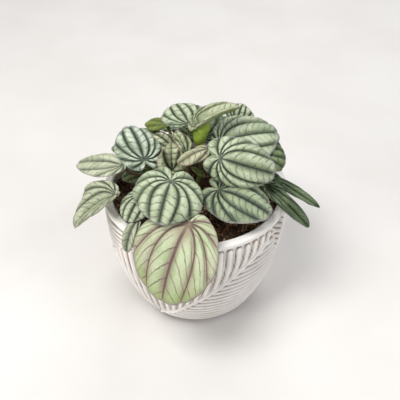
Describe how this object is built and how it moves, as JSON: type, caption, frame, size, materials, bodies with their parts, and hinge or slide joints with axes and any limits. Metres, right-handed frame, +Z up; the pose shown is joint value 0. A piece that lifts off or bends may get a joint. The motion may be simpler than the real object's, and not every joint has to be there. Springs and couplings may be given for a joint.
{
  "type": "potted peperomia",
  "caption": "Low rosette of ribbed, silver-green oval leaves on fleshy stalks, in soil in a white glazed bowl wrapped in large ribbed leaves in relief.",
  "frame": {"origin": "centre of the pot's foot, on the surface it stands on", "axes": "+Z up, -Y the front that the picture shows, +X to the right seen from the front"},
  "size_m": [0.1931, 0.2059, 0.1766],
  "materials": {
    "glaze": "gloss",
    "soil": "matte",
    "leaf": "satin"
  },
  "bodies": {
    "root": {"pot": "glaze", "soil": "soil", "leaf_front_large": "leaf", "leaf_front_dark": "leaf", "leaf_center_front": "leaf", "leaf_left_front_small": "leaf", "leaf_right_upper": "leaf", "leaf_right_lower": "leaf", "leaf_left_round": "leaf", "leaf_left_outer": "leaf", "leaf_left_low": "leaf", "leaf_left_under": "leaf", "leaf_back_left_fan": "leaf", "leaf_back_center_cup": "leaf", "leaf_back_right": "leaf", "leaf_right_curled": "leaf", "leaf_right_edge_far": "leaf", "leaf_right_edge_near": "leaf", "leaf_young_upright": "leaf", "leaf_young_left": "leaf", "leaf_rolled_center": "leaf", "leaf_back_left_under": "leaf", "leaf_striped_small": "leaf", "leaf_striped_inner": "leaf", "leaf_young_center": "leaf", "leaf_back_low_left": "leaf", "leaf_back_low_center_left": "leaf", "leaf_back_low_center_right": "leaf", "leaf_back_low_right": "leaf", "leaf_back_middle_left": "leaf", "leaf_back_middle_center": "leaf", "leaf_back_middle_right": "leaf"}
  },
  "joints": []
}
